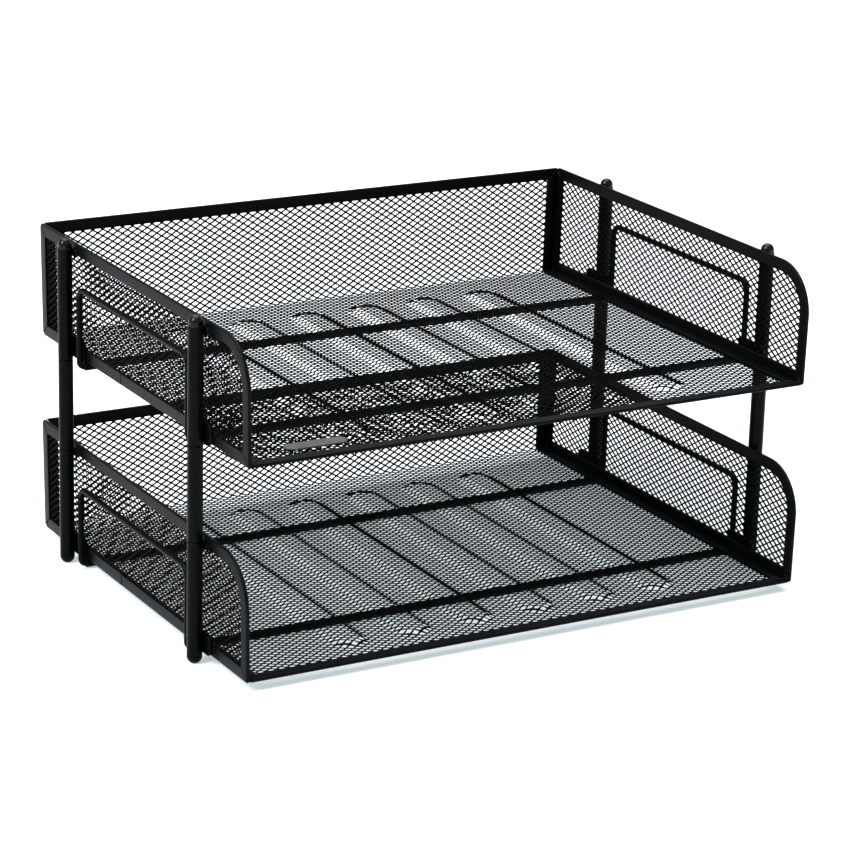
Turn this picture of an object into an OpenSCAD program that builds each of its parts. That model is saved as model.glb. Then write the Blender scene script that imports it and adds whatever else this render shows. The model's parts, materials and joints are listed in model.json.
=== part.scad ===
// Two-tier desk letter tray: steel mesh trays with folded edge strips, stacked on four round legs.
// Millimetres, +Z up, +Y to the back. The origin is on the desk under the middle of the trays.

/* [Tray] */
// Outside width across the top of the side panels
tray_w = 330; // [310:1:400]
// Outside depth from the front lip to the back panel
tray_d = 254; // [235:1:300]
// Height of the side and back panels
panel_h = 63; // [60:1:80]
// How far each side panel leans in at its foot
side_lean = 1; // [0:0.5:3]
// Radius of the swept front top corner of a side panel
sweep_r = 26; // [12:1:40]

/* [Folded edge strips] */
// Face width of a folded strip
hem_w = 6.6; // [5:0.2:8]
// Thickness of a folded strip, both layers and the sheet between them
hem_t = 2; // [1.6:0.1:3]
// Width of the closed fold at a strip's outer edge
fold_w = 1.2; // [0.8:0.1:2]
// Thickness of the mesh sheet
sheet_t = 0.6; // [0.4:0.1:0.8]

/* [Floor ribs] */
// Number of raised ribs pressed into each floor
rib_count = 6; // [2:1:8]
// Distance between rib middles
rib_pitch = 37.3; // [30:0.1:38]
// Width of a rib
rib_w = 17; // [10:1:24]
// Height of a rib above the sheet
rib_h = 2; // [0.8:0.1:2.5]
// Gap between the ribs' front ends and the front lip's edge
rib_front = 20; // [15:1:40]
// Gap between the ribs' rear ends and the back panel
rib_rear = 26; // [15:1:40]

/* [Posts and legs] */
// Outside diameter of a post or leg tube
post_d = 8; // [7.6:0.2:10]
// Bore of a post tube
post_bore = 6; // [5:0.2:6.4]
// Distance from a side panel's top edge out to a post's axis
post_out = 4.6; // [4.4:0.1:6]
// Distance between the front and rear posts
post_pitch = 161; // [140:1:180]
// How far the posts sit behind the middle of the tray
post_shift = 1.6; // [0:0.2:6]
// Height of the post tops above the tray's floor edge
post_top = 60; // [50:1:60]
// How far a post tube runs below the tray's floor edge
post_drop = 1; // [1:0.5:2]
// Length of the spigot at each end of a leg
spigot_l = 10; // [6:1:16]
// Height of one tier above the one below it
tier_pitch = 111.5; // [90:0.5:160]

/* [Side wires and cross bars] */
// Diameter of the wire
wire_d = 3.4; // [2.6:0.2:3.8]
// Height of the level run of a side wire
wire_run = 41; // [30:1:48]
// Distance from a post's axis to the wire's leg
wire_gap = 13.5; // [11:0.5:20]
// Bend radius of the upper corners, to the wire's middle
wire_bend = 6; // [4:0.5:10]
// Bend radius under the floor, to the wire's middle
foot_bend = 3; // [2.5:0.5:4]
// Diameter of a cross bar
bar_d = 4.6; // [4.2:0.2:4.8]

/* [Brackets and caps] */
// How far a foot bracket reaches past its post, away from the wire
bracket_w = 9; // [8:1:14]
// Height of a foot bracket's top above the floor edge
bracket_top = 11; // [8:0.5:20]
// Width of the small tab at a post's top
tab_w = 11; // [8:1:14]
// Height of the small tab at a post's top
tab_h = 4; // [3:0.5:5]
// Radius of the dome on a top post's plug
dome_r = 3.7; // [3:0.1:3.7]
// Length of a plug's skirt inside its post
skirt_l = 8; // [5:1:12]
// Height of the tray's floor edge above the desk
foot_drop = 5; // [5:0.5:8]
// Length of the blank name plate
plate_l = 35; // [20:1:40]
// Width of the blank name plate
plate_w = 9; // [6:1:12]

/* [Hidden] */
$fn = 48;
tiers = ["lower", "upper"];
corners = [["front_left", -1, -1], ["front_right", 1, -1], ["rear_left", -1, 1], ["rear_right", 1, 1]];
tray_nodes = ["floor_mesh", "back_mesh", "left_mesh", "right_mesh", "floor_hem", "back_hem", "left_hem",
    "right_hem", "left_wire", "right_wire", "front_bar", "rear_bar", "foot_brackets", "top_tabs",
    "front_left_post", "front_right_post", "rear_left_post", "rear_right_post"];

steel = "#26282a";
mesh_steel = "#3a3d40";
wire_steel = "#1b1c1e";
plug_black = "#101112";
foot_grey = "#17181a";
plate_grey = "#77767a";

cut = 1;                                 // how far a cutting tool overshoots
weld = 0.2;                              // how deep two welded parts run into each other
slip = 0.05;                             // radial play of a spigot in its bore
edge_cut = 0.4;                          // chamfer at a tube's end
rear_r = 2.5;                            // outline radius of a side panel's rear corners
toe_r = 1.5;                             // outline radius of a side panel's front bottom corner
bracket_r = 3;                           // radius of a foot bracket's corners
bracket_past = 0.4;                       // how far a foot bracket runs past the middle of the wire
bracket_foot = 0;                        // height of a foot bracket's lower edge
tab_top = 59.5;                          // height of a top tab's upper edge
cap_flat = 1.5;                          // radius of the flat under a foot cap
collar_h = 0.6;                          // height of a plug's collar
dome_lift = 2;                           // height of the dome's middle above the post's top
leg_bore = 4.2;                          // bore through a leg and its spigots
plate_t = 0.8;                           // thickness of the name plate
plate_x = -118.5;                        // middle of the name plate, across
plate_front = 18;                        // middle of the name plate behind the lip's edge
stub_l = 15;                             // length of a side wire's foot under the floor
bar_gap = 2.5;                           // from a side wire's middle to the end of a cross bar

lean_angle = atan(side_lean / panel_h);
sheet_gap = (hem_t - sheet_t) / 2;       // from a strip's face to the sheet inside it
floor_half = tray_w / 2 - side_lean - hem_t + weld;
back_in = tray_d / 2 - hem_t;            // inner face of the back panel's strips
post_x = tray_w / 2 + post_out;
post_r = post_d / 2;
wire_half = post_pitch / 2 - wire_gap;
bar_drop = (bar_d - weld) / 2;           // the cross bars' middle below the tray's floor edge
bracket_out = post_x - post_r + weld / 2;
wire_x = bracket_out + wire_d / 2 - weld / 2;
bracket_in = tray_w / 2 - side_lean - weld;
tab_in = tray_w / 2 - 2 * weld;
leg_l = tier_pitch - post_drop - post_top;
rib_x0 = -rib_pitch * (rib_count - 1) / 2;

function post_y(side) = post_shift + side * post_pitch / 2;
function back_half(z) = floor_half + side_lean * z / panel_h;

// The waste outside a rounded corner, for the corner at the origin
module corner_waste(r) {
    difference() {
        translate([-cut, -cut]) square(r + cut);
        translate([r, r]) circle(r);
    }
}

// A rectangle from lo to hi whose corners have the radii lower left, lower right, upper right, upper left
module rounded(lo, hi, radii) {
    difference() {
        translate(lo) square(hi - lo);
        if (radii[0] > 0) translate(lo) corner_waste(radii[0]);
        if (radii[1] > 0) translate([hi[0], lo[1]]) rotate(90) corner_waste(radii[1]);
        if (radii[2] > 0) translate(hi) rotate(180) corner_waste(radii[2]);
        if (radii[3] > 0) translate([lo[0], hi[1]]) rotate(-90) corner_waste(radii[3]);
    }
}

// Stands a drawing up: its x runs along Y, its y along Z, and its thickness along X
module stand() {
    rotate([90, 0, 90]) children();
}

// Lays a drawing across: its x runs along X, its y along Z, and its thickness along -Y
module across() {
    rotate([90, 0, 0]) children();
}

module on_side(side) {
    mirror([side > 0 ? 1 : 0, 0, 0]) children();
}

module at_corner(corner) {
    translate([corner[1] * post_x, post_y(corner[2]), 0]) children();
}

// ---- Side panels: drawn for the left side, with the outer face at x = 0

module side_outline(inset) {
    rounded([-tray_d / 2 + inset, inset], [tray_d / 2 - inset, panel_h - inset],
        [toe_r - inset, rear_r - inset, rear_r - inset, sweep_r - inset]);
}

module lean_in() {
    translate([-tray_w / 2, 0, panel_h]) rotate([0, -lean_angle, 0]) translate([0, 0, -panel_h]) children();
}

module side_sheet() {
    translate([sheet_gap, 0, 0]) stand() linear_extrude(sheet_t) side_outline(fold_w);
}

module side_mesh(side) {
    color(mesh_steel) on_side(side) lean_in() side_sheet();
}

module side_hem(side) {
    color(steel) on_side(side) lean_in() difference() {
        stand() linear_extrude(hem_t) difference() {
            side_outline(0);
            side_outline(hem_w);
        }
        side_sheet();
    }
}

// ---- Back panel: strips on three edges, and a sheet that turns forward into the floor

module back_outline(inset) {
    polygon([[-back_half(0) + inset, inset], [back_half(0) - inset, inset],
        [back_half(panel_h) - inset, panel_h - inset], [-back_half(panel_h) + inset, panel_h - inset]]);
}

module back_blank() {
    translate([0, tray_d / 2, 0]) across() linear_extrude(hem_t) difference() {
        back_outline(0);
        translate([0, -hem_w - cut]) back_outline(hem_w);
        back_outline(hem_w);
    }
}

module back_sheet() {
    translate([0, tray_d / 2 - sheet_gap, 0]) across() linear_extrude(sheet_t) difference() {
        back_outline(fold_w);
        translate([-tray_w / 2, 0]) square([tray_w, sheet_gap + sheet_t]);
    }
}

module back_mesh() {
    color(mesh_steel) back_sheet();
}

module back_hem() {
    color(steel) difference() {
        back_blank();
        back_sheet();
    }
}

// ---- Floor: strips on three edges round a sheet with raised ribs

module rib_outline(inset) {
    r = rib_w / 2;
    front = -tray_d / 2 + rib_front + r;
    rear = back_in - rib_rear - r;
    translate([-r + inset, front]) square([rib_w - 2 * inset, rear - front]);
    translate([0, front]) circle(r - inset);
    translate([0, rear]) circle(r - inset);
}

module ribs(inset) {
    for (i = [0 : rib_count - 1]) translate([rib_x0 + i * rib_pitch, 0]) rib_outline(inset);
}

module floor_flat() {
    front = -tray_d / 2 + fold_w;
    half = floor_half - fold_w;
    translate([0, 0, sheet_gap]) linear_extrude(sheet_t) {
        translate([-half, front]) square([2 * half, back_in - front]);
        translate([-floor_half + hem_w, front]) square([2 * (floor_half - hem_w), tray_d / 2 - sheet_gap - front]);
    }
}

module floor_mesh() {
    color(mesh_steel) difference() {
        union() {
            floor_flat();
            translate([0, 0, sheet_gap]) linear_extrude(sheet_t + rib_h) ribs(0);
        }
        translate([0, 0, sheet_gap - cut]) linear_extrude(rib_h + cut) ribs(sheet_t);
    }
}

module floor_hem() {
    window = floor_half - hem_w;
    color(steel) difference() {
        linear_extrude(hem_t) difference() {
            translate([-floor_half, -tray_d / 2]) square([2 * floor_half, back_in + tray_d / 2]);
            translate([-window, -tray_d / 2 + hem_w]) square([2 * window, tray_d]);
        }
        floor_flat();
    }
}

// ---- Side wires and cross bars

module rod(l) {
    cylinder(h = l, d = wire_d);
}

module quarter_bend(r) {
    rotate_extrude(angle = 90) translate([r, 0]) circle(d = wire_d);
}

// One half of a side wire, from the middle of its level run to its foot under the floor
module half_wire() {
    translate([0, 0, wire_run]) rotate([-90, 0, 0]) rod(wire_half - wire_bend);
    translate([0, wire_half - wire_bend, wire_run - wire_bend]) stand() quarter_bend(wire_bend);
    translate([0, wire_half, foot_bend - bar_drop]) rod(wire_run - wire_bend - foot_bend + bar_drop);
    translate([foot_bend, wire_half, foot_bend - bar_drop]) across() rotate(180) quarter_bend(foot_bend);
    translate([foot_bend, wire_half, -bar_drop]) rotate([0, 90, 0]) rod(stub_l - foot_bend);
}

module side_wire(side) {
    color(wire_steel) on_side(side) translate([-wire_x, post_shift, 0]) {
        half_wire();
        mirror([0, 1, 0]) half_wire();
    }
}

// A bar under the floor, with a socket in each end for a side wire's foot
module cross_bar(side) {
    half = wire_x - bar_gap;
    socket = stub_l - bar_gap;
    color(wire_steel) translate([-half, post_shift + side * wire_half, -bar_drop]) rotate([0, 90, 0]) difference() {
        cylinder(h = 2 * half, d = bar_d);
        translate([0, 0, -cut]) rod(socket + cut);
        translate([0, 0, 2 * half - socket]) rod(socket + cut);
    }
}

// ---- Posts with their brackets and tabs

module tube_outside(l) {
    r = post_r;
    cylinder(h = edge_cut, r1 = r - edge_cut, r2 = r);
    translate([0, 0, edge_cut]) cylinder(h = l - 2 * edge_cut, r = r);
    translate([0, 0, l - edge_cut]) cylinder(h = edge_cut, r1 = r, r2 = r - edge_cut);
}

module post(corner) {
    l = post_top + post_drop;
    color(steel) at_corner(corner) translate([0, 0, -post_drop]) difference() {
        tube_outside(l);
        translate([0, 0, -cut]) cylinder(h = l + 2 * cut, d = post_bore);
    }
}

module foot_brackets() {
    reach = wire_gap + bracket_past;
    color(steel) for (corner = corners) on_side(corner[1])
        translate([-bracket_out, post_y(corner[2]), 0]) stand() linear_extrude(bracket_out - bracket_in)
            mirror([corner[2] > 0 ? 1 : 0, 0]) rounded([-bracket_w, bracket_foot], [reach, bracket_top],
                [bracket_r, 0, bracket_r / 2, bracket_r]);
}

module top_tabs() {
    half = tab_w / 2;
    tab_out = post_x - post_r + weld;
    color(steel) for (corner = corners) on_side(corner[1])
        translate([-tab_out, post_y(corner[2]), 0]) stand() linear_extrude(tab_out - tab_in)
            rounded([-half, tab_top - tab_h], [half, tab_top], [1, 1, 1, 1]);
}

// ---- Legs between the tiers, plugs on the top posts and caps under the bottom ones

module leg(corner) {
    spigot_r = post_bore / 2 - slip;
    color(wire_steel) at_corner(corner) translate([0, 0, foot_drop + post_top]) difference() {
        union() {
            tube_outside(leg_l);
            translate([0, 0, -spigot_l]) cylinder(h = leg_l + 2 * spigot_l, r = spigot_r);
        }
        translate([0, 0, -spigot_l - cut]) cylinder(h = leg_l + 2 * (spigot_l + cut), d = leg_bore);
    }
}

module plug(corner) {
    color(plug_black) at_corner(corner) translate([0, 0, foot_drop + tier_pitch + post_top]) {
        translate([0, 0, -skirt_l]) cylinder(h = skirt_l + collar_h, r = post_bore / 2 - slip);
        cylinder(h = collar_h, r = post_r);
        cylinder(h = dome_lift, r = dome_r);
        translate([0, 0, dome_lift]) intersection() {
            sphere(r = dome_r);
            cylinder(h = dome_r, r = dome_r);
        }
    }
}

// A round nose on a skirt that is pushed up into the post
module foot_cap() {
    nose = sqrt(post_r * post_r - cap_flat * cap_flat);
    top = foot_drop - post_drop;
    intersection() {
        translate([0, 0, nose]) sphere(r = post_r);
        cylinder(h = nose, r = post_r);
    }
    translate([0, 0, nose]) cylinder(h = top - nose, r = post_r);
    translate([0, 0, nose]) cylinder(h = top + skirt_l - nose, d = post_bore);
}

module foot_caps() {
    color(foot_grey) for (corner = corners) at_corner(corner) foot_cap();
}

module name_plate() {
    r = plate_w / 2;
    run = plate_l / 2 - r;
    color(plate_grey) translate([plate_x, -tray_d / 2 + plate_front, foot_drop + tier_pitch + sheet_gap + sheet_t])
        linear_extrude(plate_t) {
            translate([-run, -r]) square([2 * run, plate_w]);
            for (x = [-run, run]) translate([x, 0]) circle(r);
        }
}

for (i = [0 : len(tiers) - 1]) translate([0, 0, foot_drop + i * tier_pitch]) {
    tier = tiers[i];
    floor_mesh();
    back_mesh();
    side_mesh(-1);
    side_mesh(1);
    floor_hem();
    back_hem();
    side_hem(-1);
    side_hem(1);
    side_wire(-1);
    side_wire(1);
    cross_bar(-1);
    cross_bar(1);
    foot_brackets();
    top_tabs();
    for (corner = corners) post(corner);
}
for (corner = corners) {
    leg(corner);
    plug(corner);
}
foot_caps();
name_plate();
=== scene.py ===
import bpy
import bmesh
import json
import math
from mathutils import Matrix, Vector


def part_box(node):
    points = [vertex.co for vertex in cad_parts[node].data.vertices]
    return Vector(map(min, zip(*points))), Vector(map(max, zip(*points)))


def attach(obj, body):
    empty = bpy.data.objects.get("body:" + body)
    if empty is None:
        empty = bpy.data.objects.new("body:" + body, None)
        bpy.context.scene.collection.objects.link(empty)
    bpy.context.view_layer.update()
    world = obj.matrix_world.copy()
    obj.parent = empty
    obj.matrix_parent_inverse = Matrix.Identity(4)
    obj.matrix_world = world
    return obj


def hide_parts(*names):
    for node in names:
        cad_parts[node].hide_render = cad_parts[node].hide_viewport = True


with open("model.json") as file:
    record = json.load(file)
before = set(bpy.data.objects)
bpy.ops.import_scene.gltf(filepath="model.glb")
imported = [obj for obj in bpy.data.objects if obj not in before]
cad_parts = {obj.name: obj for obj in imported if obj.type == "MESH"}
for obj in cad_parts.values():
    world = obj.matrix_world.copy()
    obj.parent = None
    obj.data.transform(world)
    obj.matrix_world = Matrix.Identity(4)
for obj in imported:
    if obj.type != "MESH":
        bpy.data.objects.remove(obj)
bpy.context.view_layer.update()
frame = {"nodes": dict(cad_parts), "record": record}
nodes = frame["nodes"]
tiers = ["lower", "upper"]
corners = ["front_left", "front_right", "rear_left", "rear_right"]
mm = 0.001
print("frame loaded:", len(nodes), "nodes")


# ---- camera: a long lens at the front left, a little above the trays
viewpoint = {
    "place": (-0.8124, -1.4284, 0.6110),
    "forward": (0.47292, 0.82562, -0.30773),
    "right": (0.87154, -0.48965, 0.02566),
    "lens": 134.93,
    "sensor": 36.0,
    "near": 0.05,
    "far": 60.0,
}


def makeCamera(settings):
    data = bpy.data.cameras.new("camera")
    data.lens = settings["lens"]
    data.sensor_width = settings["sensor"]
    data.clip_start, data.clip_end = settings["near"], settings["far"]
    camera = bpy.data.objects.new("camera", data)
    bpy.context.scene.collection.objects.link(camera)
    back = -Vector(settings["forward"]).normalized()
    right = Vector(settings["right"])
    right = (right - back * right.dot(back)).normalized()
    up = back.cross(right)
    turn = Matrix((right, up, back)).transposed().to_4x4()
    camera.matrix_world = Matrix.Translation(settings["place"]) @ turn
    bpy.context.scene.camera = camera


makeCamera(viewpoint)
print("camera placed")


# ---- materials: black powder coat in a few gloss levels
noiseSpan = (0.3, 0.7)      # where nearly all of a noise's values lie
cloudDetail, grainDetail = 3.0, 2.0
grainDepth = 0.1 * mm


def newMaterial(name):
    material = bpy.data.materials.new(name)
    material.use_nodes = True
    return material, material.node_tree.nodes["Principled BSDF"]


def noiseAt(tree, where, scale, detail):
    noise = tree.nodes.new("ShaderNodeTexNoise")
    noise.inputs["Scale"].default_value = scale
    noise.inputs["Detail"].default_value = detail
    tree.links.new(where, noise.inputs["Vector"])
    return noise.outputs["Fac"]


def spread(tree, value, low, high):
    ranged = tree.nodes.new("ShaderNodeMapRange")
    ranged.inputs["From Min"].default_value = noiseSpan[0]
    ranged.inputs["From Max"].default_value = noiseSpan[1]
    ranged.inputs["To Min"].default_value = low
    ranged.inputs["To Max"].default_value = high
    tree.links.new(value, ranged.inputs["Value"])
    return ranged.outputs["Result"]


def blendColours(tree, value, dark, pale):
    mix = tree.nodes.new("ShaderNodeMix")
    mix.data_type = "RGBA"
    mix.inputs["A"].default_value = (*dark, 1)
    mix.inputs["B"].default_value = (*pale, 1)
    tree.links.new(value, mix.inputs["Factor"])
    return mix.outputs["Result"]


def bumpFrom(tree, height, shader, strength):
    bump = tree.nodes.new("ShaderNodeBump")
    bump.inputs["Strength"].default_value = strength
    bump.inputs["Distance"].default_value = grainDepth
    tree.links.new(height, bump.inputs["Height"])
    tree.links.new(bump.outputs["Normal"], shader.inputs["Normal"])


def coating(name, settings):
    material, shader = newMaterial(name)
    tree = material.node_tree
    place = tree.nodes.new("ShaderNodeTexCoord").outputs["Object"]
    cloud = noiseAt(tree, place, settings["cloudScale"], cloudDetail)
    grain = noiseAt(tree, place, settings["grainScale"], grainDetail)
    colour = blendColours(tree, spread(tree, cloud, 0, 1), settings["dark"], settings["pale"])
    tree.links.new(colour, shader.inputs["Base Color"])
    tree.links.new(spread(tree, grain, *settings["roughness"]), shader.inputs["Roughness"])
    bumpFrom(tree, grain, shader, settings["bump"])
    shader.inputs["Specular IOR Level"].default_value = settings["gloss"]
    return material


finishes = {
    "hem": {"dark": (0.0010, 0.0012, 0.0014), "pale": (0.0018, 0.0021, 0.0024), "roughness": (0.30, 0.42),
            "cloudScale": 30, "grainScale": 1500, "bump": 0.25, "gloss": 0.045},
    "mesh": {"dark": (0.0008, 0.0008, 0.0009), "pale": (0.0014, 0.0014, 0.0016), "roughness": (0.42, 0.56),
             "cloudScale": 40, "grainScale": 1800, "bump": 0.2, "gloss": 0.02},
    "wire": {"dark": (0.0009, 0.0009, 0.0010), "pale": (0.0015, 0.0016, 0.0017), "roughness": (0.28, 0.38),
             "cloudScale": 60, "grainScale": 1600, "bump": 0.2, "gloss": 0.04},
    "post": {"dark": (0.0009, 0.0009, 0.0010), "pale": (0.0015, 0.0016, 0.0017), "roughness": (0.26, 0.36),
             "cloudScale": 60, "grainScale": 1600, "bump": 0.2, "gloss": 0.045},
    "bracket": {"dark": (0.0009, 0.0009, 0.0010), "pale": (0.0015, 0.0016, 0.0017), "roughness": (0.26, 0.36),
                "cloudScale": 60, "grainScale": 1500, "bump": 0.2, "gloss": 0.05},
    "plug": {"dark": (0.0012, 0.0012, 0.0014), "pale": (0.0018, 0.0018, 0.0021), "roughness": (0.16, 0.20),
             "cloudScale": 90, "grainScale": 2500, "bump": 0.02, "gloss": 0.16},
    "foot": {"dark": (0.0014, 0.0014, 0.0016), "pale": (0.0022, 0.0022, 0.0025), "roughness": (0.40, 0.50),
             "cloudScale": 90, "grainScale": 1200, "bump": 0.2, "gloss": 0.05},
    "plate": {"dark": (0.040, 0.039, 0.036), "pale": (0.058, 0.055, 0.051), "roughness": (0.35, 0.5),
              "cloudScale": 200, "grainScale": 2500, "bump": 0.15, "gloss": 0.3},
}
materials = {name: coating(name + "Finish", settings) for name, settings in finishes.items()}
materials["leg"] = materials["post"]
print("materials made:", len(materials))


def paint(piece, material):
    piece.data.materials.clear()
    piece.data.materials.append(material)


for entry in frame["record"]["subparts"]:
    paint(nodes[entry["node"]], materials[entry["material_slot"]])


# ---- helpers for pieces
plateEdge, roundEdge = 40, 50       # degrees past which an edge stays sharp


def addPiece(name, mesh, body, slot, replaced, smooth=None):
    piece = bpy.data.objects.new(name, mesh)
    bpy.context.scene.collection.objects.link(piece)
    paint(piece, materials[slot])
    if smooth is not None:
        mesh.shade_smooth()
        mesh.set_sharp_from_angle(angle=math.radians(smooth))
    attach(piece, body)
    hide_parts(*replaced)
    return piece


def finishMesh(made, name):
    bmesh.ops.recalc_face_normals(made, faces=made.faces)
    mesh = bpy.data.meshes.new(name)
    made.to_mesh(mesh)
    made.free()
    return mesh


def joinRings(made, rings):
    # a band of faces from each ring of points to the next, closed at both ends
    for ring, following in zip(rings, rings[1:]):
        for i in range(len(ring)):
            j = (i + 1) % len(ring)
            made.faces.new((ring[i], ring[j], following[j], following[i]))
    made.faces.new(rings[0])
    made.faces.new(reversed(rings[-1]))


def trayFrame(tier):
    low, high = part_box(tier + "_left_hem")
    return {"base": low.z, "top": high.z, "front": low.y, "back": high.y, "half": -low.x,
            "centre": (low.y + high.y) / 2}


# ---- expanded mesh: rows of zigzag strands, cut to the sheet, pressed into ribs and folded up at the back
meshSheet = {
    "Cell Length": 5.9 * mm,
    "Cell Height": 3.75 * mm,
    "Strand Width": 1.03 * mm,
    "Strand Thickness": 0.54 * mm,
    "Tilt": math.radians(-20),
    "Rib Count": 6.0,
    "Rib Pitch": 37.3 * mm,
    "Rib Width": 17 * mm,
    "Rib Height": 2.0 * mm,
    "Rib Wall": 4.0 * mm,
}
bondSwing = 0.475           # how far points move to meet the next row, as a share of a row's step


def calc(tree, operation, *values):
    node = tree.nodes.new("ShaderNodeMath")
    node.operation = operation
    for i, value in enumerate(values):
        if isinstance(value, (int, float)):
            node.inputs[i].default_value = value
        else:
            tree.links.new(value, node.inputs[i])
    return node.outputs[0]


def expandedMeshTree():
    tree = bpy.data.node_groups.new("expandedMesh", "GeometryNodeTree")
    sockets = ["Sheet Width", "Sheet Height", "Cell Length", "Cell Height", "Strand Width", "Strand Thickness",
               "Tilt", "Corner Radius", "Rib Count", "Rib Pitch", "Rib Width", "Rib Height", "Rib Wall",
               "Rib Middle", "Rib Straight", "Fold Start", "Fold Radius"]
    for name in sockets:
        tree.interface.new_socket(name, in_out="INPUT", socket_type="NodeSocketFloat")
    tree.interface.new_socket("Finish", in_out="INPUT", socket_type="NodeSocketMaterial")
    tree.interface.new_socket("Geometry", in_out="OUTPUT", socket_type="NodeSocketGeometry")
    given = tree.nodes.new("NodeGroupInput").outputs
    link = tree.links.new

    def node(kind, **settings):
        made = tree.nodes.new(kind)
        for key, value in settings.items():
            setattr(made, key, value)
        return made

    def splitPosition():
        parts = node("ShaderNodeSeparateXYZ")
        link(node("GeometryNodeInputPosition").outputs[0], parts.inputs[0])
        return parts.outputs

    def distance(x, y):
        return calc(tree, "SQRT", calc(tree, "ADD", calc(tree, "MULTIPLY", x, x), calc(tree, "MULTIPLY", y, y)))

    def fromEdge(value, size):
        return calc(tree, "ADD", value, calc(tree, "MULTIPLY", size, 0.5))

    # a lattice of points half a cell apart
    stepX = calc(tree, "MULTIPLY", given["Cell Length"], 0.5)
    stepY = calc(tree, "MULTIPLY", given["Cell Height"], 0.5)
    countX = calc(tree, "FLOOR", calc(tree, "DIVIDE", given["Sheet Width"], stepX))
    countY = calc(tree, "FLOOR", calc(tree, "DIVIDE", given["Sheet Height"], stepY))
    sizeX = calc(tree, "MULTIPLY", countX, stepX)
    sizeY = calc(tree, "MULTIPLY", countY, stepY)
    grid = node("GeometryNodeMeshGrid")
    link(sizeX, grid.inputs["Size X"])
    link(sizeY, grid.inputs["Size Y"])
    link(calc(tree, "ADD", countX, 1), grid.inputs["Vertices X"])
    link(calc(tree, "ADD", countY, 1), grid.inputs["Vertices Y"])

    # keep only the edges along the rows
    ends = node("GeometryNodeInputMeshEdgeVertices")
    apart = node("ShaderNodeVectorMath", operation="SUBTRACT")
    link(ends.outputs["Position 1"], apart.inputs[0])
    link(ends.outputs["Position 2"], apart.inputs[1])
    gap = node("ShaderNodeSeparateXYZ")
    link(apart.outputs[0], gap.inputs[0])
    halfStep = calc(tree, "MULTIPLY", stepX, 0.5)
    crossing = calc(tree, "LESS_THAN", calc(tree, "ABSOLUTE", gap.outputs["X"]), halfStep)
    rows = node("GeometryNodeDeleteGeometry", domain="EDGE", mode="EDGE_FACE")
    link(grid.outputs["Mesh"], rows.inputs["Geometry"])
    link(crossing, rows.inputs["Selection"])
    bare = node("GeometryNodeDeleteGeometry", domain="FACE", mode="ONLY_FACE")
    link(rows.outputs[0], bare.inputs["Geometry"])

    # cut the rounded corner
    place = splitPosition()
    fromX = calc(tree, "SUBTRACT", fromEdge(place["X"], sizeX), given["Corner Radius"])
    fromY = calc(tree, "SUBTRACT", calc(tree, "MULTIPLY", sizeY, 0.5), place["Y"])
    fromY = calc(tree, "SUBTRACT", fromY, given["Corner Radius"])
    outX = calc(tree, "MAXIMUM", calc(tree, "MULTIPLY", fromX, -1), 0)
    outY = calc(tree, "MAXIMUM", calc(tree, "MULTIPLY", fromY, -1), 0)
    reach = distance(outX, outY)
    inCorner = calc(tree, "MULTIPLY", calc(tree, "GREATER_THAN", outX, 0), calc(tree, "GREATER_THAN", outY, 0))
    beyond = calc(tree, "GREATER_THAN", reach, given["Corner Radius"])
    trimmed = node("GeometryNodeDeleteGeometry", domain="POINT")
    link(bare.outputs[0], trimmed.inputs["Geometry"])
    link(calc(tree, "MULTIPLY", inCorner, beyond), trimmed.inputs["Selection"])

    # push neighbouring points up and down the sheet so that the rows meet at the bonds
    place = splitPosition()
    column = calc(tree, "ROUND", calc(tree, "DIVIDE", fromEdge(place["X"], sizeX), stepX))
    row = calc(tree, "ROUND", calc(tree, "DIVIDE", fromEdge(place["Y"], sizeY), stepY))
    odd = calc(tree, "FLOORED_MODULO", calc(tree, "ADD", column, row), 2)
    side = calc(tree, "SUBTRACT", calc(tree, "MULTIPLY", odd, 2), 1)
    swing = calc(tree, "MULTIPLY", stepY, bondSwing)
    shove = node("ShaderNodeCombineXYZ")
    link(calc(tree, "MULTIPLY", side, swing), shove.inputs["Y"])
    zigzag = node("GeometryNodeSetPosition")
    link(trimmed.outputs[0], zigzag.inputs["Geometry"])
    link(shove.outputs[0], zigzag.inputs["Offset"])

    # each row becomes a flat strand, tilted about its own length
    curve = node("GeometryNodeMeshToCurve")
    link(zigzag.outputs[0], curve.inputs["Mesh"])
    upright = node("GeometryNodeSetCurveNormal", mode="Z_UP")
    link(curve.outputs[0], upright.inputs["Curve"])
    section = node("GeometryNodeCurvePrimitiveQuadrilateral", mode="RECTANGLE")
    link(given["Strand Width"], section.inputs["Width"])
    link(given["Strand Thickness"], section.inputs["Height"])
    turned = node("GeometryNodeTransform")
    link(section.outputs[0], turned.inputs["Geometry"])
    spin = node("ShaderNodeCombineXYZ")
    link(given["Tilt"], spin.inputs["Z"])
    link(spin.outputs[0], turned.inputs["Rotation"])
    strands = node("GeometryNodeCurveToMesh")
    link(upright.outputs[0], strands.inputs["Curve"])
    link(turned.outputs[0], strands.inputs["Profile Curve"])
    strands.inputs["Fill Caps"].default_value = True

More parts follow.
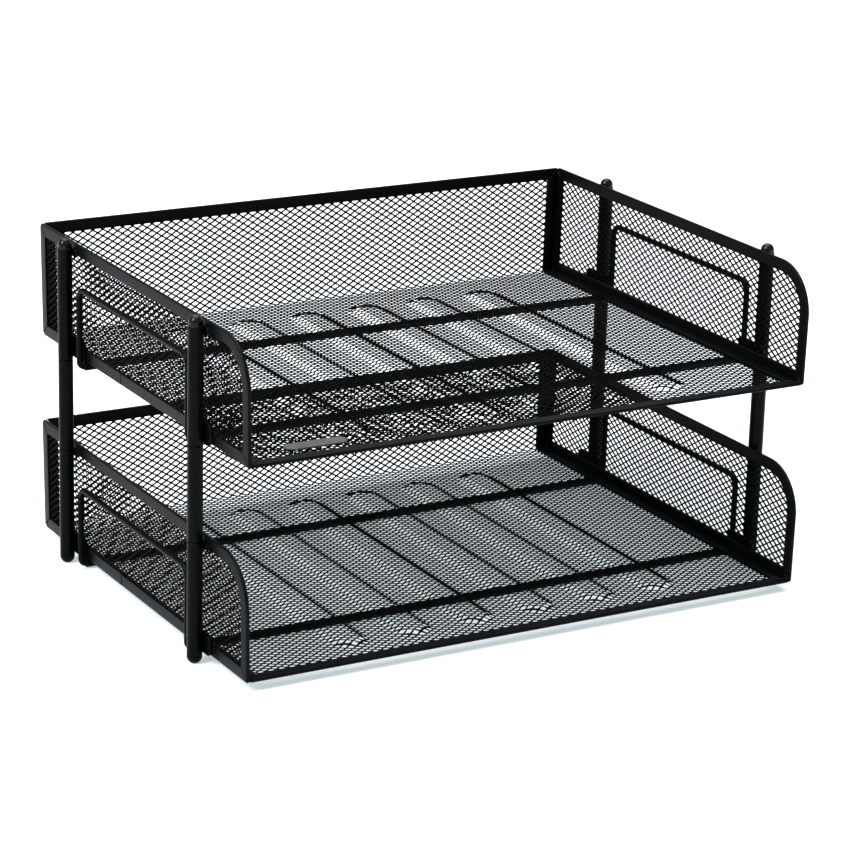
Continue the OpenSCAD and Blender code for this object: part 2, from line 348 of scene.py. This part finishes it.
    # ribs: lift what lies inside a row of oblongs
    place = splitPosition()
    span = calc(tree, "MULTIPLY", calc(tree, "MULTIPLY", given["Rib Count"], given["Rib Pitch"]), 0.5)
    local = calc(tree, "FLOORED_MODULO", calc(tree, "ADD", place["X"], span), given["Rib Pitch"])
    local = calc(tree, "SUBTRACT", local, calc(tree, "MULTIPLY", given["Rib Pitch"], 0.5))
    along = calc(tree, "ABSOLUTE", calc(tree, "SUBTRACT", place["Y"], given["Rib Middle"]))
    along = calc(tree, "MAXIMUM", calc(tree, "SUBTRACT", along, given["Rib Straight"]), 0)
    inside = calc(tree, "SUBTRACT", calc(tree, "MULTIPLY", given["Rib Width"], 0.5), distance(local, along))
    wall = node("ShaderNodeMapRange", interpolation_type="SMOOTHSTEP")
    link(inside, wall.inputs["Value"])
    link(calc(tree, "MULTIPLY", given["Rib Wall"], -0.5), wall.inputs["From Min"])
    link(calc(tree, "MULTIPLY", given["Rib Wall"], 0.5), wall.inputs["From Max"])
    within = calc(tree, "LESS_THAN", calc(tree, "ABSOLUTE", place["X"]), span)
    lift = calc(tree, "MULTIPLY", calc(tree, "MULTIPLY", wall.outputs["Result"], within), given["Rib Height"])
    shift = node("ShaderNodeCombineXYZ")
    link(lift, shift.inputs["Z"])
    ribbed = node("GeometryNodeSetPosition")
    link(strands.outputs[0], ribbed.inputs["Geometry"])
    link(shift.outputs[0], ribbed.inputs["Offset"])

    # fold: past the start line the sheet rolls up through a right angle
    place = splitPosition()
    past = calc(tree, "MAXIMUM", calc(tree, "SUBTRACT", place["Y"], given["Fold Start"]), 0)
    quarter = calc(tree, "MULTIPLY", given["Fold Radius"], math.pi / 2)
    angle = calc(tree, "DIVIDE", calc(tree, "MINIMUM", past, quarter), given["Fold Radius"])
    rise = calc(tree, "MAXIMUM", calc(tree, "SUBTRACT", past, quarter), 0)
    radius = calc(tree, "SUBTRACT", given["Fold Radius"], place["Z"])
    flatY = calc(tree, "MINIMUM", place["Y"], given["Fold Start"])
    foldedY = calc(tree, "ADD", flatY, calc(tree, "MULTIPLY", radius, calc(tree, "SINE", angle)))
    drop = calc(tree, "MULTIPLY", radius, calc(tree, "COSINE", angle))
    foldedZ = calc(tree, "SUBTRACT", given["Fold Radius"], drop)
    target = node("ShaderNodeCombineXYZ")
    link(place["X"], target.inputs["X"])
    link(foldedY, target.inputs["Y"])
    link(calc(tree, "ADD", foldedZ, rise), target.inputs["Z"])
    folded = node("GeometryNodeSetPosition")
    link(ribbed.outputs[0], folded.inputs["Geometry"])
    link(target.outputs[0], folded.inputs["Position"])

    real = node("GeometryNodeRealizeInstances")
    link(folded.outputs[0], real.inputs[0])
    finish = node("GeometryNodeSetMaterial")
    link(real.outputs[0], finish.inputs["Geometry"])
    link(given["Finish"], finish.inputs["Material"])
    link(finish.outputs[0], node("NodeGroupOutput").inputs[0])
    return tree


def growMesh(tree, settings):
    holder = bpy.data.objects.new("meshGrower", bpy.data.meshes.new("meshGrower"))
    bpy.context.scene.collection.objects.link(holder)
    modifier = holder.modifiers.new("expandedMesh", "NODES")
    modifier.node_group = tree
    values = {**settings, "Finish": materials["mesh"]}
    for item in tree.interface.items_tree:
        if item.in_out == "INPUT":
            modifier[item.identifier] = values[item.name]
    evaluated = holder.evaluated_get(bpy.context.evaluated_depsgraph_get())
    mesh = bpy.data.meshes.new_from_object(evaluated)
    bpy.data.objects.remove(holder)
    return mesh


panels = {
    "sheetMiddle": 1.0 * mm,    # from a strip's face to the middle of the sheet
    "inset": 2.0 * mm,          # from a strip's outer edge to the ends of the strands
    "foldRadius": 1.6 * mm,
    "ribFront": 20 * mm,
    "ribRear": 28 * mm,
    "sweep": 26 * mm,
    "lean": 1.0 * mm,
    "sideStrand": 0.90 * mm,    # the side panels' strands lie flatter and look finer
}
flatSheet = {"Rib Count": 0.0, "Rib Height": 0.0, "Rib Middle": 0.0, "Rib Straight": 0.0, "Fold Start": 1.0,
             "Fold Radius": 1.0}        # no ribs, and a fold that starts beyond the sheet
meshTree = expandedMeshTree()


def floorAndBack(tier):
    tray = trayFrame(tier)
    low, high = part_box(tier + "_floor_mesh")
    front = tray["front"] + panels["inset"]
    backFace = tray["back"] - panels["sheetMiddle"]
    foldStart = backFace - panels["foldRadius"]
    tall = tray["top"] - tray["base"] - panels["inset"]
    length = foldStart - front + panels["foldRadius"] * (math.pi / 2 - 1) + tall - panels["sheetMiddle"]
    middle = front + length / 2
    ribLow = tray["front"] + panels["ribFront"]
    ribHigh = tray["back"] - panels["ribRear"]
    mesh = growMesh(meshTree, {
        **meshSheet, "Sheet Width": high.x - low.x, "Sheet Height": length, "Corner Radius": 0.0,
        "Rib Middle": (ribLow + ribHigh) / 2 - middle,
        "Rib Straight": (ribHigh - ribLow - meshSheet["Rib Width"]) / 2,
        "Fold Start": foldStart - middle, "Fold Radius": panels["foldRadius"],
    })
    mesh.transform(Matrix.Translation((0, middle, tray["base"] + panels["sheetMiddle"])))
    return addPiece(tier + "_floor_and_back_sheet", mesh, tier + "_tray", "mesh",
                    [tier + "_floor_mesh", tier + "_back_mesh"])


def sidePlacement(tray, side):
    # panel x runs along the tray's Y, panel y up the panel, panel z in towards the tray
    tall = tray["top"] - tray["base"]
    lean = Matrix.Rotation(-math.atan(panels["lean"] / tall), 4, "Y")
    stand = Matrix(((0, 0, 1, 0), (1, 0, 0, 0), (0, 1, 0, 0), (0, 0, 0, 1)))
    placed = Matrix.Translation((-tray["half"], 0, tray["top"])) @ lean @ Matrix.Translation((0, 0, -tall)) @ stand
    if side > 0:
        placed = Matrix.Scale(-1, 4, (1, 0, 0)) @ placed
    return placed


weldWithin = 1e-7           # points closer than this are merged


def tidyNormals(mesh):
    made = bmesh.new()
    made.from_mesh(mesh)
    bmesh.ops.remove_doubles(made, verts=made.verts, dist=weldWithin)
    bmesh.ops.recalc_face_normals(made, faces=made.faces)
    made.to_mesh(mesh)
    made.free()


def sideSheet(tier, side, word):
    tray = trayFrame(tier)
    tall = tray["top"] - tray["base"] - 2 * panels["inset"]
    mesh = growMesh(meshTree, {
        **meshSheet, **flatSheet, "Sheet Width": tray["back"] - tray["front"] - 2 * panels["inset"],
        "Sheet Height": tall, "Corner Radius": panels["sweep"] - panels["inset"],
        "Strand Width": panels["sideStrand"],
    })
    middle = Matrix.Translation((0, panels["inset"] + tall / 2, panels["sheetMiddle"]))
    mesh.transform(sidePlacement(tray, side) @ middle)
    if side > 0:
        tidyNormals(mesh)
    return addPiece(f"{tier}_{word}_sheet", mesh, tier + "_tray", "mesh", [f"{tier}_{word}_mesh"])


for tier in tiers:
    sheets = [floorAndBack(tier), sideSheet(tier, -1, "left"), sideSheet(tier, 1, "right")]
    print(tier, "mesh:", sum(len(sheet.data.polygons) for sheet in sheets), "faces")


# ---- edge strips: sheet steel folded over the mesh's edge, in lengths that meet at mitres
strips = {
    "width": 6.6 * mm,
    "thickness": 2.0 * mm,
    "foldRound": 0.8 * mm,      # rounding of the folded edge
    "leaf": 0.65 * mm,          # thickness of each leaf
    "pocket": 1.6 * mm,         # depth of sheet left before the pocket that holds the mesh
    "bevel": 0.34 * mm,
    "seam": 0.18 * mm,          # half the gap where two lengths meet
    "rearRound": 2.5 * mm,
    "toeRound": 1.5 * mm,
    "joinAt": 23 * mm,          # where the side panel's lower strip is joined, behind the middle
    "foldSteps": 4,
    "cornerSteps": 3,
    "sweepSteps": 18,
}


def arc(centre, radius, start, end, steps):
    turns = [math.radians(start + (end - start) * i / steps) for i in range(steps + 1)]
    return [Vector((centre[0] + radius * math.cos(turn), centre[1] + radius * math.sin(turn))) for turn in turns]


def foldedSection(settings):
    # u runs in from the folded edge, w through the strip
    width, thick, r = settings["width"], settings["thickness"], settings["foldRound"]
    leaf, pocket, bevel = settings["leaf"], settings["pocket"], settings["bevel"]
    steps = settings["foldSteps"]
    fold = arc((r, r), r, 270, 180, steps) + arc((r, thick - r), r, 180, 90, steps)
    inner = [(width - bevel, thick), (width, thick - bevel), (width, thick - leaf), (pocket, thick - leaf),
             (pocket, leaf), (width, leaf), (width, bevel), (width - bevel, 0)]
    return fold + [Vector(point) for point in inner]


def layStrip(made, stations, settings):
    # stations are pairs of points: on the folded edge, and on the strip's other edge
    section = foldedSection(settings)
    bevel, width, thick = settings["bevel"], settings["width"], settings["thickness"]
    pressed = [Vector((min(max(u, bevel), width - bevel), min(max(w, bevel), thick - bevel))) for u, w in section]

    def shifted(index, towards, distance):
        step = (stations[towards][0] - stations[index][0]).normalized() * distance
        return stations[index][0] + step, stations[index][1] + step

    gap, last = settings["seam"], len(stations) - 1
    rows = [(shifted(0, 1, gap), pressed), (shifted(0, 1, gap + bevel), section)]
    rows += [(station, section) for station in stations[1:-1]]
    rows += [(shifted(last, last - 1, gap + bevel), section), (shifted(last, last - 1, gap), pressed)]
    rings = []
    for (outer, inner), shape in rows:
        across = (inner - outer) / width
        rings.append([made.verts.new((*(outer + across * u), w)) for u, w in shape])
    joinRings(made, rings)


def stripMesh(name, lengths, placement, settings):
    made = bmesh.new()
    for stations in lengths:
        layStrip(made, stations, settings)
    bmesh.ops.recalc_face_normals(made, faces=made.faces)
    made.transform(placement)
    if placement.determinant() < 0:
        bmesh.ops.reverse_faces(made, faces=made.faces)
    mesh = bpy.data.meshes.new(name)
    made.to_mesh(mesh)
    made.free()
    return mesh


def along(points, inner):
    return [(point, Vector(inner)) for point in points]


def sideLengths(tray, settings):
    w, sweep, rear, toe = settings["width"], panels["sweep"], settings["rearRound"], settings["toeRound"]
    few, many = settings["cornerSteps"], settings["sweepSteps"]
    front, back, tall = tray["front"], tray["back"], tray["top"] - tray["base"]
    backTop, backFoot, frontFoot = (back - w, tall - w), (back - w, w), (front + w, w)
    bend = (front + sweep, tall - sweep)
    join = tray["centre"] + settings["joinAt"]
    butt = [(Vector((join, 0)), Vector((join, w)))]
    top = along(arc((back - rear, tall - rear), rear, 45, 90, few), backTop)
    top += list(zip(arc(bend, sweep, 90, 180, many), arc(bend, sweep - w, 90, 180, many)))
    top += along(arc((front + toe, toe), toe, 180, 225, few), frontFoot)
    footFront = along(arc((front + toe, toe), toe, 225, 270, few), frontFoot) + butt
    footBack = butt + along(arc((back - rear, rear), rear, 270, 315, few), backFoot)
    upright = along(arc((back - rear, rear), rear, 315, 360, few), backFoot)
    upright += along(arc((back - rear, tall - rear), rear, 0, 45, few), backTop)
    return [top, footFront, footBack, upright]


def backLengths(tray, half, settings):
    w, lean, tall = settings["width"], panels["lean"], tray["top"] - tray["base"]

    def upright(side):
        return [(Vector((side * half, 0)), Vector((side * (half - w), 0))),
                (Vector((side * (half + lean), tall)), Vector((side * (half + lean - w), tall - w)))]
    left, right = upright(-1), upright(1)
    return [left, [left[1], right[1]], right]


def floorLengths(tray, half, settings):
    w, thick = settings["width"], settings["thickness"]

    def rail(side):
        return [(Vector((side * half, tray["back"] - thick)), Vector((side * (half - w), tray["back"] - thick))),
                (Vector((side * half, tray["front"])), Vector((side * (half - w), tray["front"] + w)))]
    left, right = rail(-1), rail(1)
    return [left, [left[1], right[1]], right]


def edgeStrips(tier):
    tray = trayFrame(tier)
    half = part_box(tier + "_floor_hem")[1].x
    backPlace = Matrix(((1, 0, 0, 0), (0, 0, -1, tray["back"]), (0, 1, 0, tray["base"]), (0, 0, 0, 1)))
    floorPlace = Matrix.Translation((0, 0, tray["base"]))
    made = {
        "left": (sideLengths(tray, strips), sidePlacement(tray, -1)),
        "right": (sideLengths(tray, strips), sidePlacement(tray, 1)),
        "back": (backLengths(tray, half, strips), backPlace),
        "floor": (floorLengths(tray, half, strips), floorPlace),
    }
    pieces = []
    for word, (lengths, placement) in made.items():
        name = f"{tier}_{word}_strips"
        mesh = stripMesh(name, lengths, placement, strips)
        pieces.append(addPiece(name, mesh, tier + "_tray", "hem", [f"{tier}_{word}_hem"], plateEdge))
    return pieces


for tier in tiers:
    print(tier, "edge strips:", len(edgeStrips(tier)))


# ---- side wires and cross bars: round steel, bent and welded
rods = {
    "bend": 6.0 * mm,
    "footBend": 3.0 * mm,
    "stub": 15 * mm,            # how far a side wire's foot runs into its cross bar
    "nose": 0.5 * mm,           # chamfer on a bar's ends
    "steps": 6,
    "resolution": 5,
    "sides": 24,
}


def bentPath(corners, radii, steps):
    # rounds each inner corner of a run of straight lines
    path = [Vector(corners[0])]
    for before, corner, after, radius in zip(corners, corners[1:], corners[2:], radii):
        into = (Vector(corner) - Vector(before)).normalized()
        out = (Vector(after) - Vector(corner)).normalized()
        centre = Vector(corner) + (out - into) * radius
        for i in range(steps + 1):
            turn = math.pi / 2 * i / steps
            path.append(centre - out * radius * math.cos(turn) + into * radius * math.sin(turn))
    return path + [Vector(corners[-1])]


def roundRod(name, path, radius, resolution):
    line = bpy.data.curves.new(name, "CURVE")
    line.dimensions = "3D"
    line.bevel_depth = radius
    line.bevel_resolution = resolution
    line.use_fill_caps = True
    spline = line.splines.new("POLY")
    spline.points.add(len(path) - 1)
    for point, place in zip(spline.points, path):
        point.co = (*place, 1)
    holder = bpy.data.objects.new(name, line)
    bpy.context.scene.collection.objects.link(holder)
    mesh = bpy.data.meshes.new_from_object(holder.evaluated_get(bpy.context.evaluated_depsgraph_get()))
    bpy.data.objects.remove(holder)
    tidyNormals(mesh)
    return mesh


def sideWire(tier, side, word):
    low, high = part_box(f"{tier}_{word}_wire")
    frontBar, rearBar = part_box(tier + "_front_bar"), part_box(tier + "_rear_bar")
    frontY, rearY = (frontBar[0].y + frontBar[1].y) / 2, (rearBar[0].y + rearBar[1].y) / 2
    barZ = (frontBar[0].z + frontBar[1].z) / 2
    radius = barZ - low.z
    outX = low.x + radius if side < 0 else high.x - radius
    inX = outX - side * rods["stub"]
    runZ = high.z - radius
    corners = [(inX, frontY, barZ), (outX, frontY, barZ), (outX, frontY, runZ), (outX, rearY, runZ),
               (outX, rearY, barZ), (inX, rearY, barZ)]
    radii = [rods["footBend"], rods["bend"], rods["bend"], rods["footBend"]]
    name = f"{tier}_{word}_bent_wire"
    mesh = roundRod(name, bentPath(corners, radii, rods["steps"]), radius, rods["resolution"])
    addPiece(name, mesh, tier + "_tray", "wire", [f"{tier}_{word}_wire"], plateEdge)


def crossBar(tier, word):
    low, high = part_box(f"{tier}_{word}_bar")
    y, z, radius = (low.y + high.y) / 2, (low.z + high.z) / 2, (high.z - low.z) / 2
    length, nose = high.x - low.x, rods["nose"]
    profile = [(0, 0), (radius - nose, 0), (radius, nose), (radius, length - nose), (radius - nose, length),
               (0, length)]
    name = f"{tier}_{word}_round_bar"
    lay = Matrix.Translation((low.x, y, z)) @ Matrix.Rotation(math.pi / 2, 4, "Y")
    mesh = turnedMesh(name, profile, rods["sides"], [lay])
    addPiece(name, mesh, tier + "_tray", "wire", [f"{tier}_{word}_bar"], plateEdge)


def turnedMesh(name, profile, sides, placements):
    # spins (radius, height) points about the upright axis; the two ends lie on the axis
    made = bmesh.new()
    turns = [2 * math.pi * i / sides for i in range(sides)]
    for placement in placements:
        rings = []
        for radius, height in profile:
            if radius == 0:
                rings.append([made.verts.new(placement @ Vector((0, 0, height)))])
                continue
            rings.append([made.verts.new(placement @ Vector((radius * math.cos(t), radius * math.sin(t), height)))
                          for t in turns])
        for ring, following in zip(rings, rings[1:]):
            for i in range(sides):
                j = (i + 1) % sides
                corners = [ring[i % len(ring)], ring[j % len(ring)], following[j % len(following)],
                           following[i % len(following)]]
                made.faces.new(list(dict.fromkeys(corners)))
    return finishMesh(made, name)


for tier in tiers:
    sideWire(tier, -1, "left")
    sideWire(tier, 1, "right")
    crossBar(tier, "front")
    crossBar(tier, "rear")
print("side wires and cross bars made")


# ---- foot brackets and top tabs: small plates with softened edges, welded between post and panel
brackets = {"behindPost": 9.0 * mm, "toWire": 13.9 * mm, "outer": 3.0 * mm, "inner": 1.5 * mm, "bevel": 0.5 * mm}
tabs = {"half": 5.5 * mm, "round": 1.4 * mm, "bevel": 0.7 * mm}
weldDepth = 0.2 * mm        # how far a welded plate runs into the panel
bevelSteps, roundSteps = 3, 5
leastRound = 0.02 * mm      # keeps a square corner's points apart


def roundedRect(low, high, radii, inset):
    # radii: lower left, lower right, upper right, upper left
    places = [(low[0], low[1], 1, 1, 180), (high[0], low[1], -1, 1, 270), (high[0], high[1], -1, -1, 0),
              (low[0], high[1], 1, -1, 90)]
    points = []
    for (x, y, inX, inY, start), radius in zip(places, radii):
        kept = max(radius, inset + leastRound)
        points += arc((x + inX * kept, y + inY * kept), kept - inset, start, start + 90, roundSteps)
    return points


def softPlate(made, outline, depth, bevel, placement):
    # outline(inset) gives the edge drawn in by that much; the front face is rounded off, the back is flat
    rings = []
    for i in range(bevelSteps + 1):
        turn = math.pi / 2 * i / bevelSteps
        inset, height = bevel * (1 - math.sin(turn)), depth - bevel * (1 - math.cos(turn))
        rings.append([made.verts.new(placement @ Vector((*point, height))) for point in outline(inset)])
    rings.append([made.verts.new(placement @ Vector((*point, 0))) for point in outline(0)])
    joinRings(made, rings)


def outwardFrom(x, side, y, z):
    # drawing x runs along the tray, drawing y up, thickness outwards
    return Matrix(((0, 0, side, x), (1, 0, 0, y), (0, 1, 0, z), (0, 0, 0, 1)))


def postPlates(tier):
    tray = trayFrame(tier)
    for node, settings in (("foot_brackets", brackets), ("top_tabs", tabs)):
        low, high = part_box(f"{tier}_{node}")
        inner = tray["half"] - (panels["lean"] if node == "foot_brackets" else 0) - weldDepth
        made = bmesh.new()
        for corner in corners:
            postLow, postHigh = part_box(f"{tier}_{corner}_post")
            side = -1 if corner.endswith("left") else 1
            rear = 1 if corner.startswith("rear") else -1
            y = (postLow.y + postHigh.y) / 2
            if node == "foot_brackets":
                reach = sorted((rear * settings["behindPost"], -rear * settings["toWire"]))
                radii = [settings["outer"], 0, settings["inner"], settings["outer"]]
                if rear > 0:
                    radii = [radii[1], radii[0], radii[3], radii[2]]
            else:
                reach = (-settings["half"], settings["half"])
                radii = [settings["round"]] * 4

            def outline(inset):
                return roundedRect((reach[0], low.z), (reach[1], high.z), radii, inset)
            softPlate(made, outline, high.x - inner, settings["bevel"], outwardFrom(side * inner, side, y, 0))
        name = f"{tier}_{node}_plates"
        addPiece(name, finishMesh(made, name), tier + "_tray", "bracket", [f"{tier}_{node}"], roundEdge)


for tier in tiers:
    postPlates(tier)
print("brackets and tabs made")


# ---- rounded plugs on the top posts, round nosed caps under the bottom ones
plug = {
    "skirt": 8.0 * mm,
    "chamfer": 0.5 * mm,
    "collar": 0.6 * mm,
    "lip": 0.15 * mm,
    "domeRadius": 3.7 * mm,
    "domeLift": 2.0 * mm,
    "play": 0.05 * mm,          # between the skirt and the post's bore
}
cap = {"skirt": 8.0 * mm, "flat": 1.5 * mm, "seam": 0.12 * mm}
postBore = 3.0 * mm         # radius
sidesRound, domeSteps = 40, 10


def plugProfile(radius, bore, settings):
    collar, lip, dome, lift = settings["collar"], settings["lip"], settings["domeRadius"], settings["domeLift"]
    skirt, chamfer = settings["skirt"], settings["chamfer"]
    base = [(0, -skirt), (bore - chamfer, -skirt), (bore, chamfer - skirt), (bore, 0), (radius - lip, 0),
            (radius, lip), (radius, collar - lip), (radius - lip, collar), (dome, collar)]
    crown = [(point.x, point.y) for point in arc((0, lift), dome, 0, 90, domeSteps)]
    return base + crown[:-1] + [(0, lift + dome)]


def capProfile(radius, bore, top, settings):
    rise = math.sqrt(radius ** 2 - settings["flat"] ** 2)
    start = math.degrees(math.asin(-rise / radius))
    nose = [(point.x, point.y) for point in arc((0, rise), radius, start, 0, domeSteps)]
    seam = settings["seam"]
    return [(0, 0)] + nose + [(radius, top - seam), (radius - seam, top), (bore, top),
                              (bore, top + settings["skirt"]), (0, top + settings["skirt"])]


def postAxes(tier):
    axes = {}
    for corner in corners:
        low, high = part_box(f"{tier}_{corner}_post")
        axes[corner] = {"x": (low.x + high.x) / 2, "y": (low.y + high.y) / 2, "foot": low.z, "top": high.z,
                        "radius": (high.x - low.x) / 2}
    return axes


for corner, post in postAxes("upper").items():
    name = corner + "_dome_plug"
    profile = plugProfile(post["radius"], postBore - plug["play"], plug)
    mesh = turnedMesh(name, profile, sidesRound, [Matrix.Translation((post["x"], post["y"], post["top"]))])
    addPiece(name, mesh, corner + "_cap", "plug", [corner + "_plug"], roundEdge)
standing = postAxes("lower")
profile = capProfile(standing["front_left"]["radius"], postBore, standing["front_left"]["foot"], cap)
places = [Matrix.Translation((post["x"], post["y"], 0)) for post in standing.values()]
mesh = turnedMesh("round_foot_caps", profile, sidesRound, places)
addPiece("round_foot_caps", mesh, "lower_tray", "foot", ["foot_caps"], roundEdge)
print("plugs and foot caps made")


# ---- blank name plate on the upper floor
label = {"bevel": 0.3 * mm, "rim": 0.7 * mm, "sunk": 0.2 * mm}


def namePlate():
    low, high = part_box("name_plate")
    radius = (high.y - low.y) / 2
    made = bmesh.new()

    def outline(inset):
        return roundedRect((low.x, low.y), (high.x, high.y), [radius] * 4, inset)
    softPlate(made, outline, high.z - low.z, label["bevel"], Matrix.Translation((0, 0, low.z)))
    made.faces.ensure_lookup_table()
    # the flat top is the highest face with more than four corners
    top = max(made.faces, key=lambda face: face.calc_center_median().z * (len(face.verts) > 4))
    bmesh.ops.inset_region(made, faces=[top], thickness=label["rim"] - label["bevel"], depth=0)
    bmesh.ops.inset_region(made, faces=[top], thickness=label["sunk"], depth=-label["sunk"])
    addPiece("blank_plate", finishMesh(made, "blank_plate"), "upper_tray", "plate", ["name_plate"], plateEdge)


namePlate()
print("plate made")


# ---- stage and light: a pale table, softly lit from below
stage = {
    "size": 60.0,
    "colour": (0.48, 0.495, 0.50),
    "roughness": 0.9,
    "gloss": 0.1,
    "glow": (0.42, 0.475, 0.485),
    "glowStrength": 1.0,
}


def makeFloor(settings):
    half = settings["size"] / 2
    mesh = bpy.data.meshes.new("floor")
    mesh.from_pydata([(-half, -half, 0), (half, -half, 0), (half, half, 0), (-half, half, 0)], [], [(0, 1, 2, 3)])
    floor = bpy.data.objects.new("floor", mesh)
    bpy.context.scene.collection.objects.link(floor)
    material, shader = newMaterial("paleFloor")
    shader.inputs["Base Color"].default_value = (*settings["colour"], 1)
    shader.inputs["Roughness"].default_value = settings["roughness"]
    shader.inputs["Specular IOR Level"].default_value = settings["gloss"]
    shader.inputs["Emission Color"].default_value = (*settings["glow"], 1)
    shader.inputs["Emission Strength"].default_value = settings["glowStrength"]
    floor.data.materials.append(material)


lights = [
    {"name": "overhead", "from": (0.10, 0.25, 1.0), "strength": 4.5, "angle": 60},
    {"name": "leftBox", "from": (-1.0, -0.1, 0.8), "strength": 1.5, "angle": 50},
    {"name": "leftSpark", "from": (-0.69, -0.10, 0.69), "strength": 3.2, "angle": 24},
    {"name": "frontSpark", "from": (0.19, -0.77, 0.59), "strength": 0.15, "angle": 8},
]
sky = {"colour": (0.84, 0.94, 1.0), "strength": 0.6}


def makeLights():
    for settings in lights:
        data = bpy.data.lights.new(settings["name"], "SUN")
        data.energy = settings["strength"]
        data.angle = math.radians(settings["angle"])
        light = bpy.data.objects.new(settings["name"], data)
        bpy.context.scene.collection.objects.link(light)
        light.rotation_mode = "QUATERNION"
        light.rotation_quaternion = Vector(settings["from"]).to_track_quat("Z", "Y")
    world = bpy.data.worlds.new("studio")
    bpy.context.scene.world = world
    world.use_nodes = True
    background = world.node_tree.nodes["Background"]
    background.inputs["Color"].default_value = (*sky["colour"], 1)
    background.inputs["Strength"].default_value = sky["strength"]


makeFloor(stage)
makeLights()
bpy.context.scene.view_settings.view_transform = "Standard"
print("stage and lights made")
